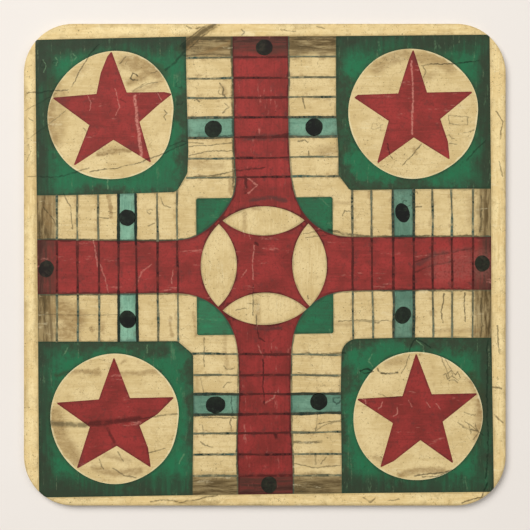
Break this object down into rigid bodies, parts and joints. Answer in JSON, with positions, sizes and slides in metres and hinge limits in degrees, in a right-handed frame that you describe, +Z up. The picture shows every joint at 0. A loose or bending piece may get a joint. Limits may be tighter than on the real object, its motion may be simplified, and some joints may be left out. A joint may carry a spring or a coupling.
{
  "type": "printed drinks coaster",
  "caption": "Flat square pulpboard coaster with rounded corners, printed on top with a worn cross-and-circle race-game board.",
  "frame": {"origin": "middle of the underside, on the table", "axes": "+Z up through the thin card, +Y towards the top of the picture, +X to its right"},
  "size_m": [0.1016, 0.1016, 0.0015],
  "materials": {
    "board_core": "pressed wood pulp, fibrous die-cut edge",
    "back_paper": "uncoated, matt, flecked",
    "face_paper": "coated, smooth",
    "border_cream": "printed, dull satin",
    "cream": "printed, dull satin",
    "green": "printed, dull satin",
    "red": "printed, dull satin",
    "blue_green": "printed, dull satin",
    "line_ink": "printed, dull satin",
    "black": "printed, dull satin"
  },
  "bodies": {
    "root": {"back_paper": "back_paper", "board_core": "board_core", "face_paper": "face_paper", "border_strip": "border_cream", "centre_star": "red", "corner_panel_nw": "green", "disc_nw": "cream", "star_nw": "red", "centre_corner_nw": "green", "track_nw": "cream", "corner_panel_ne": "green", "disc_ne": "cream", "star_ne": "red", "centre_corner_ne": "green", "track_ne": "cream", "corner_panel_se": "green", "disc_se": "cream", "star_se": "red", "centre_corner_se": "green", "track_se": "cream", "corner_panel_sw": "green", "disc_sw": "cream", "star_sw": "red", "centre_corner_sw": "green", "track_sw": "cream", "cross_arm_north": "red", "petal_north": "cream", "marked_cells_north": "blue_green", "grid_lines_north": "line_ink", "dots_north": "black", "cross_arm_east": "red", "petal_east": "cream", "marked_cells_east": "blue_green", "grid_lines_east": "line_ink", "dots_east": "black", "cross_arm_south": "red", "petal_south": "cream", "marked_cells_south": "blue_green", "grid_lines_south": "line_ink", "dots_south": "black", "cross_arm_west": "red", "petal_west": "cream", "marked_cells_west": "blue_green", "grid_lines_west": "line_ink", "dots_west": "black"}
  },
  "joints": []
}
